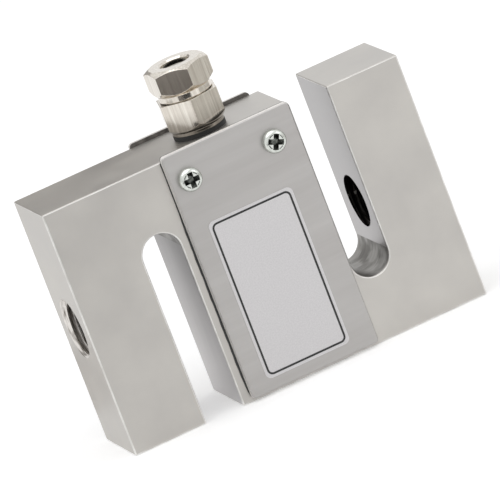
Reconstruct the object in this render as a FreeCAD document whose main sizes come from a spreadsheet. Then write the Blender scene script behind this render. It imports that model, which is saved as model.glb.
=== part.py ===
import FreeCAD, Part
import math
import os

import Sketcher

# S type load cell: a slotted steel block that bends under a pull along X, with
# strain gauges in a window between its slots, a cover over each end of the
# window and a cable gland on top.
# Frame: +X along the load, +Y from the labelled cover to the back, +Z up to
# the gland. The origin is the middle of the underside of the block.

doc = FreeCAD.newDocument("s_type_load_cell")

# ---------------------------------------------------------------- sizes, in mm

SIZES = [
    ("block_length", 76.2, "end face to end face, along the load"),
    ("block_height", 50.8, "underside to top face"),
    ("block_thickness", 19.05, "front face to back face"),
    ("middle_width", 29.7, "block between the two slots, under the covers"),
    ("slot_width", 8.0, "slot between a limb and the middle"),
    ("neck_height", 12.7, "metal left above or below the end of a slot"),
    ("edge_break", 0.45, "chamfer along the outline of the block"),
    ("load_drill", 10.2, "tapping drill of the M12 x 1.75 loading threads"),
    ("load_sink", 12.4, "mouth of the countersink on a loading thread"),
    ("flexure_wall", 3.0, "thinnest wall between a slot and the window"),
    ("window_roof", 5.55, "metal above the window, and the same below it"),
    ("waist_cut", 0.66, "how far the milled waist trims the cusps between the bores"),
    ("seal_thickness", 0.3, "black sealing film under a cover"),
    ("cover_thickness", 1.2, "sheet of a cover"),
    ("cover_left_inset", 1.95, "left slot to the left edge of a cover"),
    ("front_right_inset", 0.45, "right slot to the right edge of the front cover"),
    ("back_right_inset", 1.95, "right slot to the right edge of the back cover"),
    ("cover_lift", 0.75, "underside of the block to the lower edge of a cover"),
    ("front_rise", 0.95, "top face of the block to the upper edge of the front cover"),
    ("back_rise", 0.7, "top face of the block to the upper edge of the back cover"),
    ("cover_corner", 0.8, "corner radius of a cover"),
    ("cover_edge", 0.3, "chamfer round the outer face of a cover"),
    ("seal_margin", 0.5, "gauge window to the inner edge of the sealing film"),
    ("seal_screw_hole", 3.2, "hole in the sealing film round a screw"),
    ("screw_inset", 5.82, "slot to the middle of the nearer cover screw"),
    ("screw_drop", 5.05, "top face of the block down to the screws"),
    ("screw_thread", 2.5, "hole for an M2.5 cover screw"),
    ("screw_gap", 0.05, "radial clearance of a screw in its hole"),
    ("screw_head", 4.8, "head diameter"),
    ("screw_head_height", 1.6, "head height"),
    ("screw_head_crown", 0.45, "chamfer round the top of the head"),
    ("screw_point", 0.4, "chamfer on the end of the thread"),
    ("screw_length", 6.0, "under the head"),
    ("screw_hole_spare", 1.0, "hole left past the end of a screw"),
    ("cover_screw_hole", 2.8, "clearance hole in a cover"),
    ("recess_span", 3.2, "across the arms of the cross recess"),
    ("recess_arm", 0.85, "width of an arm of the cross recess"),
    ("recess_depth", 1.1, "depth of the cross recess"),
    ("label_side_gap", 4.65, "cover left bare, on average, at each side of the label"),
    ("label_screw_gap", 9.35, "cover screws down to the upper edge of the label"),
    ("label_lift", 3.2, "underside of the block to the lower edge of the label"),
    ("label_thickness", 0.1, "printed foil"),
    ("label_corner", 1.2, "corner radius of the label"),
    ("gland_thread", 8.0, "tapped hole for the gland"),
    ("gland_shift", -1.0, "middle of the block to the axis of the gland, along X"),
    ("gland_thread_gap", 0.05, "radial clearance of a gland thread"),
    ("gland_stem_length", 5.2, "thread of the gland below the top face"),
    ("washer_thickness", 0.9, "rubber washer under the gland"),
    ("washer_outer", 10.6, "outer diameter of the washer"),
    ("base_outer", 10.5, "round foot of the gland body"),
    ("base_height", 0.6, "round foot of the gland body"),
    ("hex_flats", 11.5, "across the flats of the gland body and its nut"),
    ("hex_height", 6.3, "hexagon of the gland body"),
    ("hex_turn", -11.0, "degrees that a corner of the gland body turns from -Y"),
    ("cap_thread", 9.2, "thread that the nut runs on"),
    ("cap_thread_length", 4.8, "thread that the nut runs on"),
    ("cap_gap", 0.15, "gland body to the nut"),
    ("skirt_outer", 10.7, "round skirt of the nut"),
    ("skirt_height", 1.15, "round skirt of the nut"),
    ("nut_height", 6.6, "whole nut, skirt included"),
    ("nut_top_face", 10.4, "flat ring on top of the nut"),
    ("nut_turn", 3.1, "degrees that a corner of the nut turns from -Y"),
    ("nut_end_wall", 1.35, "end of the nut over the rubber bush"),
    ("nut_hole", 5.8, "hole in the end of the nut"),
    ("nut_hole_break", 0.35, "chamfer round the hole in the end of the nut"),
    ("ring_thickness", 0.3, "slip ring between the nut and the bush"),
    ("ring_hole", 5.2, "hole in the slip ring"),
    ("bush_length", 3.5, "rubber bush that grips the cable"),
    ("bush_outer", 7.3, "outer diameter of the bush"),
    ("bush_gap", 0.05, "radial clearance of the bush in its seat"),
    ("cable_hole", 4.0, "hole in the bush for the cable"),
    ("gland_hole", 4.4, "hole through the gland body"),
    ("gauge_thickness", 0.25, "foil gauge with its coat"),
    ("gauge_span", 7.0, "gauge along the bore wall"),
    ("gauge_width", 6.0, "gauge along Y"),
    ("board_side_gap", 2.4, "terminal board to the waist of the window"),
    ("board_margin", 3.0, "solder pads to the upper and lower edges of the board"),
    ("board_thickness", 1.0, "terminal board"),
    ("resistor_length", 3.2, "chip resistor"),
    ("resistor_width", 1.6, "chip resistor"),
    ("resistor_thickness", 0.6, "chip resistor"),
    ("resistor_drop", 4.0, "chip resistors from the middle of the board"),
    ("lead_width", 0.8, "ribbon lead of a gauge, along Z"),
    ("lead_thickness", 0.25, "ribbon lead of a gauge"),
    ("lead_reach", 2.4, "first straight run of a lead, off the gauge"),
    ("lead_pad_inset", 1.6, "solder pads to the nearer side of the board"),
    ("lead_run", 2.8, "last straight run of a lead, into its pad"),
    ("lead_bend", 1.2, "bend radius of a lead"),
    ("lead_gap", 0.02, "curved face of a gauge to the flat end of its lead"),
]

sheet = doc.addObject("Spreadsheet::Sheet", "sizes")
for row, (alias, size, note) in enumerate(SIZES, start=1):
    sheet.set(f"A{row}", alias)
    sheet.set(f"B{row}", str(size))
    sheet.setAlias(f"B{row}", alias)
    sheet.set(f"C{row}", note)
doc.recompute()


def spell(expression):
    """Write the sheet's name before each alias in an expression."""
    words = []
    word = ""
    for letter in expression + " ":
        if letter.isalnum() or letter in "_.":
            word += letter
            continue
        words.append("sizes." + word if word in ALIASES else word)
        words.append(letter)
        word = ""
    return "".join(words).strip()


def value(expression):
    """The number that an expression of sheet sizes gives now."""
    return float(sheet.evalExpression(spell(expression)))


ALIASES = {alias for alias, size, note in SIZES}

# Places that several pieces share, written with the sizes above.
SLOT_CENTRE = "(middle_width / 2 + slot_width / 2)"
LIMB_WIDTH = "(block_length / 2 - middle_width / 2 - slot_width)"
MIDDLE_HEIGHT = "(block_height / 2)"
GAUGE_BORE_RADIUS = "(middle_width / 2 - flexure_wall)"
GAUGE_BORE_PITCH = "(block_height - 2 * window_roof - middle_width + 2 * flexure_wall)"
WAIST_WIDTH = ("(2 * (sqrt(max((middle_width / 2 - flexure_wall) ^ 2"
               " - (block_height / 2 - window_roof - middle_width / 2 + flexure_wall) ^ 2; 0))"
               " + waist_cut))")
SCREW_ACROSS = "(middle_width / 2 - screw_inset)"
HALF_THICKNESS = "(block_thickness / 2)"
SCREW_HEIGHT = "(block_height - screw_drop)"
COVER_WIDTH = {face: f"(middle_width - cover_left_inset - {face}_right_inset)"
               for face in ("front", "back")}
COVER_HEIGHT = {face: f"(block_height - cover_lift + {face}_rise)"
                for face in ("front", "back")}
COVER_CENTRE = {face: f"((cover_left_inset - {face}_right_inset) / 2)"
                for face in ("front", "back")}
COVER_MIDDLE = {face: f"((block_height + cover_lift + {face}_rise) / 2)"
                for face in ("front", "back")}
COVER_SEAT = "(block_thickness / 2 + seal_thickness)"
COVER_FACE = "(block_thickness / 2 + seal_thickness + cover_thickness)"
LABEL_WIDTH = f"({COVER_WIDTH['front']} - 2 * label_side_gap)"
LABEL_HEIGHT = "(block_height - screw_drop - label_screw_gap - label_lift)"
BOARD_WIDTH = f"({WAIST_WIDTH} - 2 * board_side_gap)"
HEX_CORNER = "(hex_flats / sqrt(3))"
NUT_FOOT = "(washer_thickness + base_height + hex_height + cap_gap)"
NUT_TOP = "(washer_thickness + base_height + hex_height + cap_gap + nut_height)"
THREAD_TOP = "(washer_thickness + base_height + hex_height + cap_thread_length)"
BUSH_TOP = ("(washer_thickness + base_height + hex_height + cap_gap + nut_height"
            " - nut_end_wall - ring_thickness)")


# ------------------------------------------------------------- drawing helpers

def new_body(name):
    body = doc.addObject("PartDesign::Body", name)
    body.Label = name
    return body


def new_sketch(body, name, role, offset="0"):
    """A sketch on one of the body's own origin planes, moved along its normal."""
    sketch = body.newObject("Sketcher::SketchObject", name)
    plane = [item for item in body.Origin.OriginFeatures if item.Role == role][0]
    sketch.AttachmentSupport = (plane, [""])
    sketch.MapMode = "FlatFace"
    sketch.setExpression("AttachmentOffset.Base.z", spell(offset))
    return sketch


def pin(sketch, geometry, corner, x, y):
    """Hold one point of the sketch at sizes taken from the sheet."""
    for kind, size in (("DistanceX", x), ("DistanceY", y)):
        index = sketch.addConstraint(
            Sketcher.Constraint(kind, -1, 1, geometry, corner, value(size)))
        sketch.setExpression(f"Constraints[{index}]", spell(size))


def draw_loop(sketch, corners):
    """A closed loop of straight lines through corners given as expressions."""
    points = [FreeCAD.Vector(value(x), value(y), 0) for x, y in corners]
    first = sketch.GeometryCount
    for start, end in zip(points, points[1:] + points[:1]):
        sketch.addGeometry(Part.LineSegment(start, end), False)
    count = len(corners)
    for index in range(count):
        following = first + (index + 1) % count
        sketch.addConstraint(Sketcher.Constraint("Coincident", first + index, 2, following, 1))
    for index, (x, y) in enumerate(corners):
        pin(sketch, first + index, 1, x, y)


def draw_rectangle(sketch, x, y, width, height):
    """A rectangle about its centre."""
    draw_loop(sketch, [
        (f"{x} - ({width}) / 2", f"{y} - ({height}) / 2"),
        (f"{x} + ({width}) / 2", f"{y} - ({height}) / 2"),
        (f"{x} + ({width}) / 2", f"{y} + ({height}) / 2"),
        (f"{x} - ({width}) / 2", f"{y} + ({height}) / 2"),
    ])


def draw_circle(sketch, x, y, diameter):
    centre = FreeCAD.Vector(value(x), value(y), 0)
    index = sketch.addGeometry(
        Part.Circle(centre, FreeCAD.Vector(0, 0, 1), value(diameter) / 2), False)
    pin(sketch, index, 3, x, y)
    size = sketch.addConstraint(Sketcher.Constraint("Diameter", index, value(diameter)))
    sketch.setExpression(f"Constraints[{size}]", spell(diameter))


def draw_hexagon(sketch, corner_radius, turn):
    """A hexagon about the sketch origin, with one corner turned from -Y."""
    draw_loop(sketch, [
        (f"{corner_radius} * sin(({turn} + {60 * index}) * 1 deg)",
         f"-{corner_radius} * cos(({turn} + {60 * index}) * 1 deg)")
        for index in range(6)
    ])


def pad(body, name, sketch, length, both_ways=False, reverse=False):
    feature = body.newObject("PartDesign::Pad", name)
    feature.Profile = sketch
    feature.setExpression("Length", spell(length))
    feature.Midplane = both_ways
    feature.Reversed = reverse
    sketch.Visibility = False
    doc.recompute()
    return feature


def cut_through(body, name, sketch):
    """A pocket both ways through the whole body."""
    before = body.Shape.Volume
    feature = body.newObject("PartDesign::Pocket", name)
    feature.Profile = sketch
    feature.Type = "ThroughAll"
    feature.Midplane = True
    doc.recompute()
    if body.Shape.Volume >= before:
        raise RuntimeError(f"{name} cuts nothing")
    return feature


def revolve(body, name, sketch, kind="PartDesign::Revolution"):
    """Turn a profile round the sketch's upright axis."""
    before = body.Shape.Volume if kind == "PartDesign::Groove" else math.inf
    feature = body.newObject(kind, name)
    feature.Profile = sketch
    feature.ReferenceAxis = (sketch, ["V_Axis"])
    feature.Angle = 360
    doc.recompute()
    if body.Shape.Volume >= before:
        raise RuntimeError(f"{name} cuts nothing")
    return feature


def drill(body, name, sketch, diameter, depth, reverse=False, sink=None):
    """Holes at the sketch's circles, with a countersink if sink gives its mouth."""
    before = body.Shape.Volume
    feature = body.newObject("PartDesign::Hole", name)
    feature.Profile = sketch
    feature.ThreadType = "None"
    feature.setExpression("Diameter", spell(diameter))
    feature.DepthType = "Dimension"
    feature.setExpression("Depth", spell(depth))
    feature.DrillPoint = "Flat"
    feature.Reversed = reverse
    if sink:
        feature.HoleCutType = "Countersink"
        feature.HoleCutCustomValues = True
        feature.setExpression("HoleCutDiameter", spell(sink))
        feature.HoleCutCountersinkAngle = 90
    doc.recompute()
    if body.Shape.Volume >= before:
        raise RuntimeError(f"{name} drills nothing")
    return feature


def edges_where(feature, wanted):
    """Names of the feature's edges that pass a test."""
    return [f"Edge{index}" for index, edge in enumerate(feature.Shape.Edges, start=1)
            if wanted(edge)]


def dress(body, kind, name, base, edges, size):
    """A Fillet or Chamfer on the named edges of the base feature."""
    feature = body.newObject(f"PartDesign::{kind}", name)
    feature.Base = (base, edges)
    feature.setExpression("Radius" if kind == "Fillet" else "Size", spell(size))
    doc.recompute()
    return feature


def place(body, x="0", y="0", z="0"):
    for axis, size in (("x", x), ("y", y), ("z", z)):
        body.setExpression(f"Placement.Base.{axis}", spell(size))
    doc.recompute()


def is_along(edge, axis):
    """True where the edge is straight and parallel to X (0), Y (1) or Z (2)."""
    if edge.Curve.TypeId != "Part::GeomLine":
        return False
    return abs(abs(edge.Curve.Direction[axis]) - 1) < 1e-6


# ------------------------------------------------------------ the sensing body

def is_outer_corner(edge):
    """True on the block's edges along Y: its four corners and the slot mouths."""
    z = edge.CenterOfMass.z
    return min(abs(z), abs(z - value("block_height"))) < 1e-6


def make_sensing_body():
    body = new_body("sensing_body")
    outline = new_sketch(body, "block_outline", "XZ_Plane")
    draw_rectangle(outline, "0", MIDDLE_HEIGHT, "block_length", "block_height")
    pad(body, "block", outline, "block_thickness", both_ways=True)

    # Each slot is milled from one face up to a bore that rounds off its end.
    slot_depth = "(block_height - neck_height - slot_width / 2)"
    for side, x, bore_height, slot_middle in (
            ("left", f"(-1 * {SLOT_CENTRE})", slot_depth, f"({slot_depth} / 2)"),
            ("right", SLOT_CENTRE, f"(block_height - {slot_depth})",
             f"(block_height - {slot_depth} / 2)")):
        bore = new_sketch(body, f"{side}_slot_bore_outline", "XZ_Plane")
        draw_circle(bore, x, bore_height, "slot_width")
        cut_through(body, f"{side}_slot_bore", bore)
        slot = new_sketch(body, f"{side}_slot_outline", "XZ_Plane")
        draw_rectangle(slot, x, slot_middle, "slot_width", slot_depth)
        slotted = cut_through(body, f"{side}_slot", slot)

    # Every outer edge is broken, the slot mouths and round ends included.
    half = value(HALF_THICKNESS)
    edge_names = edges_where(
        slotted, lambda edge: abs(abs(edge.CenterOfMass.y) - half) < 1e-6
        or (is_along(edge, 1) and is_outer_corner(edge)))
    dress(body, "Chamfer", "broken_edges", slotted, edge_names, "edge_break")

    # The window: two bores one above the other, joined by a milled waist.
    for level, sign in (("lower", "-"), ("upper", "+")):
        gauge_bore = new_sketch(body, f"{level}_gauge_bore_outline", "XZ_Plane")
        draw_circle(gauge_bore, "0", f"{MIDDLE_HEIGHT} {sign} {GAUGE_BORE_PITCH} / 2",
                    f"(2 * {GAUGE_BORE_RADIUS})")
        cut_through(body, f"{level}_gauge_bore", gauge_bore)
    waist = new_sketch(body, "waist_outline", "XZ_Plane")
    draw_rectangle(waist, "0", MIDDLE_HEIGHT, WAIST_WIDTH, GAUGE_BORE_PITCH)
    cut_through(body, "waist", waist)

    # A loading thread through each limb, from its end face into the slot.
    for side, sign, reverse in (("left", "-", True), ("right", "", False)):
        mouth = new_sketch(body, f"{side}_thread_centre", "YZ_Plane", f"{sign}block_length / 2")
        draw_circle(mouth, "0", MIDDLE_HEIGHT, "load_drill")
        drill(body, f"{side}_load_thread", mouth, "load_drill",
              f"{LIMB_WIDTH} + slot_width / 2", reverse, "load_sink")

    # The gland's tapped hole runs down through the neck into the window.
    gland_mouth = new_sketch(body, "gland_hole_centre", "XY_Plane", "block_height")
    draw_circle(gland_mouth, "gland_shift", "0", "gland_thread")
    drill(body, "gland_hole", gland_mouth, "gland_thread",
          f"window_roof + {GAUGE_BORE_RADIUS} / 2")

    # Two tapped holes for the screws of each cover.
    for face, sign, reverse in (("front", "", False), ("back", "-", True)):
        centres = new_sketch(body, f"{face}_screw_centres", "XZ_Plane", f"{sign}block_thickness / 2")
        for x in (f"-1 * {SCREW_ACROSS}", SCREW_ACROSS):
            draw_circle(centres, x, SCREW_HEIGHT, "screw_thread")
        drill(body, f"{face}_screw_holes", centres, "screw_thread",
              "screw_length - cover_thickness - seal_thickness + screw_hole_spare", reverse)
    return body


# ------------------------------------------------- covers, sealing films, label

def make_cover(face):
    """A flat cover, drawn about its own centre with its outer face to -Y."""
    body = new_body(f"{face}_cover")
    outline = new_sketch(body, f"{face}_cover_outline", "XZ_Plane")
    draw_rectangle(outline, "0", "0", COVER_WIDTH[face], COVER_HEIGHT[face])
    sheet_metal = pad(body, f"{face}_cover_sheet", outline, "cover_thickness")
    corners = edges_where(sheet_metal, lambda edge: is_along(edge, 1))
    rounded = dress(body, "Fillet", f"{face}_cover_corners", sheet_metal, corners, "cover_corner")
    outer = -value("cover_thickness")
    rim = edges_where(rounded, lambda edge: abs(edge.CenterOfMass.y - outer) < 1e-6)
    dress(body, "Chamfer", f"{face}_cover_rim", rounded, rim, "cover_edge")
    holes = new_sketch(body, f"{face}_cover_hole_centres", "XZ_Plane")
    draw_screw_circles(holes, face, "cover_screw_hole")
    cut_through(body, f"{face}_cover_holes", holes)
    return body


def make_sealing_film(face):
    """The black film under a cover, open over the gauge window."""
    body = new_body(f"{face}_seal")
    outline = new_sketch(body, f"{face}_seal_outline", "XZ_Plane")
    draw_rectangle(outline, "0", "0", COVER_WIDTH[face], COVER_HEIGHT[face])
    film = pad(body, f"{face}_seal_film", outline, "seal_thickness")
    corners = edges_where(film, lambda edge: is_along(edge, 1))
    dress(body, "Fillet", f"{face}_seal_corners", film, corners, "cover_corner")
    holes = new_sketch(body, f"{face}_seal_hole_centres", "XZ_Plane")
    draw_screw_circles(holes, face, "seal_screw_hole")
    cut_through(body, f"{face}_seal_holes", holes)
    # The opening is as wide as the gauge bores all the way, with round ends.
    opening_width = f"(2 * {GAUGE_BORE_RADIUS} + 2 * seal_margin)"
    opening_height = f"({MIDDLE_HEIGHT} - {COVER_MIDDLE[face]})"
    for level, sign in (("lower", "-"), ("upper", "+")):
        opening = new_sketch(body, f"{face}_seal_{level}_opening", "XZ_Plane")
        draw_circle(opening, own_middle(face),
                    f"{opening_height} {sign} {GAUGE_BORE_PITCH} / 2", opening_width)
        cut_through(body, f"{face}_seal_{level}_end", opening)
    straight = new_sketch(body, f"{face}_seal_straight_opening", "XZ_Plane")
    draw_rectangle(straight, own_middle(face), opening_height, opening_width, GAUGE_BORE_PITCH)
    cut_through(body, f"{face}_seal_straight", straight)
    return body


def own_middle(face):
    """The block's middle in a cover's own frame: the back one is turned round."""
    return f"(-1 * {COVER_CENTRE[face]})" if face == "front" else COVER_CENTRE[face]


def draw_screw_circles(sketch, face, diameter):
    """Circles at a cover's two screws, seen from the cover's own centre."""
    for sign in ("-", "+"):
        draw_circle(sketch, f"{own_middle(face)} {sign} {SCREW_ACROSS}",
                    f"{SCREW_HEIGHT} - {COVER_MIDDLE[face]}", diameter)


def seat_on_face(body, face, depth):
    """Set a piece against the front of the block, or turn it round to the back."""
    turn = 0 if face == "front" else 180
    outward = -1 if face == "front" else 1
    body.Placement = FreeCAD.Placement(
        FreeCAD.Vector(), FreeCAD.Rotation(FreeCAD.Vector(0, 0, 1), turn))
    place(body, COVER_CENTRE[face], f"{outward} * {depth}", COVER_MIDDLE[face])


def make_label():
    body = new_body("rating_label")
    outline = new_sketch(body, "label_outline", "XZ_Plane")
    draw_rectangle(outline, "0", "0", LABEL_WIDTH, LABEL_HEIGHT)
    foil = pad(body, "label_foil", outline, "label_thickness")
    corners = edges_where(foil, lambda edge: is_along(edge, 1))
    dress(body, "Fillet", "label_corners", foil, corners, "label_corner")
    place(body, "0", f"-1 * {COVER_FACE}", f"label_lift + {LABEL_HEIGHT} / 2")
    return body


# ------------------------------------------------------------------ cover screws

def make_screw(name):
    """A pan head screw standing on its thread, with a cross recess."""
    body = new_body(name)
    shank = "(screw_thread / 2 - screw_gap)"
    profile = new_sketch(body, f"{name}_profile", "XZ_Plane")
    draw_loop(profile, [
        ("0", "-1 * screw_length"),
        (f"{shank} - screw_point", "-1 * screw_length"),
        (shank, "screw_point - screw_length"),
        (shank, "0"),
        ("screw_head / 2", "0"),
        ("screw_head / 2", "screw_head_height - screw_head_crown"),
        ("screw_head / 2 - screw_head_crown", "screw_head_height"),
        ("0", "screw_head_height"),
    ])
    revolve(body, f"{name}_turned", profile)
    recess = new_sketch(body, f"{name}_recess_outline", "XY_Plane", "screw_head_height")
    half_arm = "recess_arm / 2"
    half_span = "recess_span / 2"
    draw_loop(recess, [
        (f"{x_sign} * {x_size}", f"{y_sign} * {y_size}")
        for x_sign, x_size, y_sign, y_size in (
            (-1, half_arm, -1, half_span), (1, half_arm, -1, half_span),
            (1, half_arm, -1, half_arm), (1, half_span, -1, half_arm),
            (1, half_span, 1, half_arm), (1, half_arm, 1, half_arm),
            (1, half_arm, 1, half_span), (-1, half_arm, 1, half_span),
            (-1, half_arm, 1, half_arm), (-1, half_span, 1, half_arm),
            (-1, half_span, -1, half_arm), (-1, half_arm, -1, half_arm))
    ])
    before = body.Shape.Volume
    pocket = body.newObject("PartDesign::Pocket", f"{name}_recess")
    pocket.Profile = recess
    pocket.setExpression("Length", spell("recess_depth"))
    doc.recompute()
    if body.Shape.Volume >= before:
        raise RuntimeError(f"{name} has no recess")
    return body


def seat_screw(body, face, side):
    """Put a screw through its cover with the head outwards."""
    outward = -1 if face == "front" else 1
    body.Placement = FreeCAD.Placement(
        FreeCAD.Vector(), FreeCAD.Rotation(FreeCAD.Vector(1, 0, 0), -90 * outward))
    x_sign = -1 if side == "left" else 1
    place(body, f"{x_sign} * {SCREW_ACROSS}", f"{outward} * {COVER_FACE}", SCREW_HEIGHT)


# ------------------------------------------------------------------- cable gland

def make_gland_washer():
    body = new_body("gland_washer")
    rings = new_sketch(body, "washer_rings", "XY_Plane")
    draw_circle(rings, "0", "0", "washer_outer")
    draw_circle(rings, "0", "0", "gland_thread")
    pad(body, "washer", rings, "washer_thickness")
    place(body, x="gland_shift", z="block_height")
    return body


def make_gland_body():
    """Threaded stem, round foot, hexagon and the thread for the nut, in one."""
    body = new_body("gland_body")
    hexagon = new_sketch(body, "gland_hexagon", "XY_Plane", "washer_thickness + base_height")
    draw_hexagon(hexagon, HEX_CORNER, "hex_turn")
    pad(body, "gland_hex", hexagon, "hex_height")
    turned = new_sketch(body, "gland_turned_profile", "XZ_Plane")
    stem = "(gland_thread / 2 - gland_thread_gap)"
    hex_top = "washer_thickness + base_height + hex_height"
    draw_loop(turned, [
        ("0", "-1 * gland_stem_length"),
        (stem, "-1 * gland_stem_length"),
        (stem, "washer_thickness"),
        ("base_outer / 2", "washer_thickness"),
        ("base_outer / 2", hex_top),
        ("cap_thread / 2", hex_top),
        ("cap_thread / 2", THREAD_TOP),
        ("0", THREAD_TOP),
    ])
    revolve(body, "gland_turned", turned)
    inside = new_sketch(body, "gland_bore_profile", "XZ_Plane")
    seat = "(bush_outer / 2 + bush_gap)"
    draw_loop(inside, [
        ("0", "-1 * gland_stem_length"),
        ("gland_hole / 2", "-1 * gland_stem_length"),
        ("gland_hole / 2", f"{BUSH_TOP} - bush_length"),
        (seat, f"{BUSH_TOP} - bush_length"),
        (seat, THREAD_TOP),
        ("0", THREAD_TOP),
    ])
    foot = "washer_thickness + base_height"
    draw_loop(inside, [
        ("base_outer / 2", foot),
        ("hex_flats", foot),
        ("hex_flats", f"{foot} + hex_flats - base_outer / 2"),
    ])
    revolve(body, "gland_bore", inside, "PartDesign::Groove")
    place(body, x="gland_shift", z="block_height")
    return body


def make_gland_nut():
    """Cap nut: round skirt, hexagon with both ends turned down, holed end."""
    body = new_body("gland_nut")
    hexagon = new_sketch(body, "nut_hexagon", "XY_Plane", f"{NUT_FOOT} + skirt_height")
    draw_hexagon(hexagon, HEX_CORNER, "nut_turn")
    pad(body, "nut_hex", hexagon, "nut_height - skirt_height")
    skirt = new_sketch(body, "nut_skirt_circle", "XY_Plane", NUT_FOOT)
    draw_circle(skirt, "0", "0", "skirt_outer")
    pad(body, "nut_skirt", skirt, "nut_height")
    cuts = new_sketch(body, "nut_turned_cuts", "XZ_Plane")
    cone_foot = f"{NUT_FOOT} + skirt_height"
    draw_loop(cuts, [
        ("skirt_outer / 2", cone_foot),
        ("hex_flats", cone_foot),
        ("hex_flats", f"{cone_foot} + hex_flats - skirt_outer / 2"),
    ])
    draw_loop(cuts, [
        ("nut_top_face / 2", NUT_TOP),
        ("hex_flats", NUT_TOP),
        ("hex_flats", f"{NUT_TOP} - (hex_flats - nut_top_face / 2) * tan(30 deg)"),
    ])
    thread = "(cap_thread / 2 + gland_thread_gap)"
    draw_loop(cuts, [
        ("0", NUT_FOOT),
        (thread, NUT_FOOT),
        (thread, f"{NUT_TOP} - nut_end_wall"),
        ("nut_hole / 2", f"{NUT_TOP} - nut_end_wall"),
        ("nut_hole / 2", f"{NUT_TOP} - nut_hole_break"),
        ("nut_hole / 2 + nut_hole_break", NUT_TOP),
        ("0", NUT_TOP),
    ])
    revolve(body, "nut_turned", cuts, "PartDesign::Groove")
    place(body, x="gland_shift", z="block_height")
    return body


def make_gland_bush():
    body = new_body("gland_bush")
    rings = new_sketch(body, "bush_rings", "XY_Plane", f"{BUSH_TOP} - bush_length")
    draw_circle(rings, "0", "0", "bush_outer")
    draw_circle(rings, "0", "0", "cable_hole")
    pad(body, "bush", rings, "bush_length")
    place(body, x="gland_shift", z="block_height")
    return body


def make_slip_ring():
    body = new_body("gland_slip_ring")
    rings = new_sketch(body, "slip_rings", "XY_Plane", BUSH_TOP)
    draw_circle(rings, "0", "0", "cap_thread")
    draw_circle(rings, "0", "0", "ring_hole")
    pad(body, "slip_ring", rings, "ring_thickness")
    place(body, x="gland_shift", z="block_height")
    return body


# ------------------------------------------------------ gauges, board and leads

def make_gauge(name, x_sign, z_sign):
    """A foil gauge bonded on a gauge bore's wall, where the block is thinnest."""
    body = new_body(name)
    ring = new_sketch(body, f"{name}_ring", "XZ_Plane")
    draw_circle(ring, "0", "0", f"(2 * {GAUGE_BORE_RADIUS})")
    draw_circle(ring, "0", "0", f"(2 * {GAUGE_BORE_RADIUS} - 2 * gauge_thickness)")
    pad(body, f"{name}_foil", ring, "gauge_width", both_ways=True)
    # All of the ring but the stretch at the flexure is cut away.
    before = body.Shape.Volume
    rest = new_sketch(body, f"{name}_rest", "XZ_Plane")
    far = f"(2 * {GAUGE_BORE_RADIUS})"
    draw_loop(rest, [
        (f"{-x_sign} * {far}", f"-1 * {far}"),
        (f"{x_sign} * {far}", f"-1 * {far}"),
        (f"{x_sign} * {far}", "-1 * gauge_span / 2"),
        ("0", "-1 * gauge_span / 2"),
        ("0", "gauge_span / 2"),
        (f"{x_sign} * {far}", "gauge_span / 2"),
        (f"{x_sign} * {far}", far),
        (f"{-x_sign} * {far}", far),
    ])
    cut_through(body, f"{name}_trim", rest)
    if body.Shape.Volume > before / 4:
        raise RuntimeError(f"{name} is not trimmed to its flexure")
    place(body, "0", "0", f"{MIDDLE_HEIGHT} + {z_sign} * {GAUGE_BORE_PITCH} / 2")
    return body


def make_terminal_board():
    """Circuit board bonded to the inside of the back cover."""
    body = new_body("terminal_board")
    outline = new_sketch(body, "board_outline", "XZ_Plane")
    draw_rectangle(outline, "0", "0", BOARD_WIDTH, f"{GAUGE_BORE_PITCH} + 2 * board_margin")
    pad(body, "board", outline, "board_thickness")
    place(body, "0", COVER_SEAT, MIDDLE_HEIGHT)
    return body


def make_resistor(name, z_sign):
    body = new_body(name)
    outline = new_sketch(body, f"{name}_outline", "XZ_Plane")
    draw_rectangle(outline, "0", "0", "resistor_length", "resistor_width")
    pad(body, f"{name}_chip", outline, "resistor_thickness")
    place(body, "0", f"{COVER_SEAT} - board_thickness",
          f"{MIDDLE_HEIGHT} + {z_sign} * resistor_drop")
    return body


def make_lead(name, x_sign, z_sign):
    """A ribbon lead from a gauge to its pad: straight runs and tangent arcs."""
    body = new_body(name)
    start = f"({GAUGE_BORE_RADIUS} - gauge_thickness - lead_gap)"
    inner = value(start)
    pad_face = value(f"{COVER_SEAT} - board_thickness")
    pad_middle = x_sign * value(f"{BOARD_WIDTH} / 2 - lead_pad_inset")
    corners = [
        FreeCAD.Vector(x_sign * inner, 0, 0),
        FreeCAD.Vector(x_sign * (inner - value("lead_reach")), 0, 0),
        FreeCAD.Vector(pad_middle, pad_face - value("lead_run"), 0),
        FreeCAD.Vector(pad_middle, pad_face, 0),
    ]
    route = new_sketch(body, f"{name}_route", "XY_Plane")
    draw_rounded_route(route, corners, value("lead_bend"))
    section = new_sketch(body, f"{name}_section", "YZ_Plane", f"{x_sign} * {start}")
    draw_rectangle(section, "0", "0", "lead_thickness", "lead_width")
    ribbon = body.newObject("PartDesign::AdditivePipe", f"{name}_ribbon")
    ribbon.Profile = section
    ribbon.Spine = (route, [])
    doc.recompute()
    place(body, "0", "0", f"{MIDDLE_HEIGHT} + {z_sign} * {GAUGE_BORE_PITCH} / 2")
    return body


def draw_rounded_route(sketch, corners, radius):
    """Straight runs through the corners, each corner rounded to the radius."""
    start = corners[0]
    for before, corner, after in zip(corners, corners[1:], corners[2:]):
        back = (before - corner).normalize()
        ahead = (after - corner).normalize()
        half_angle = back.getAngle(ahead) / 2
        trim = radius / math.tan(half_angle)
        middle = corner + (back + ahead).normalize() * (radius / math.sin(half_angle) - radius)
        enter = corner + back * trim
        leave = corner + ahead * trim
        sketch.addGeometry(Part.LineSegment(start, enter), False)
        sketch.addGeometry(Part.Arc(enter, middle, leave), False)
        start = leave
    sketch.addGeometry(Part.LineSegment(start, corners[-1]), False)


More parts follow.
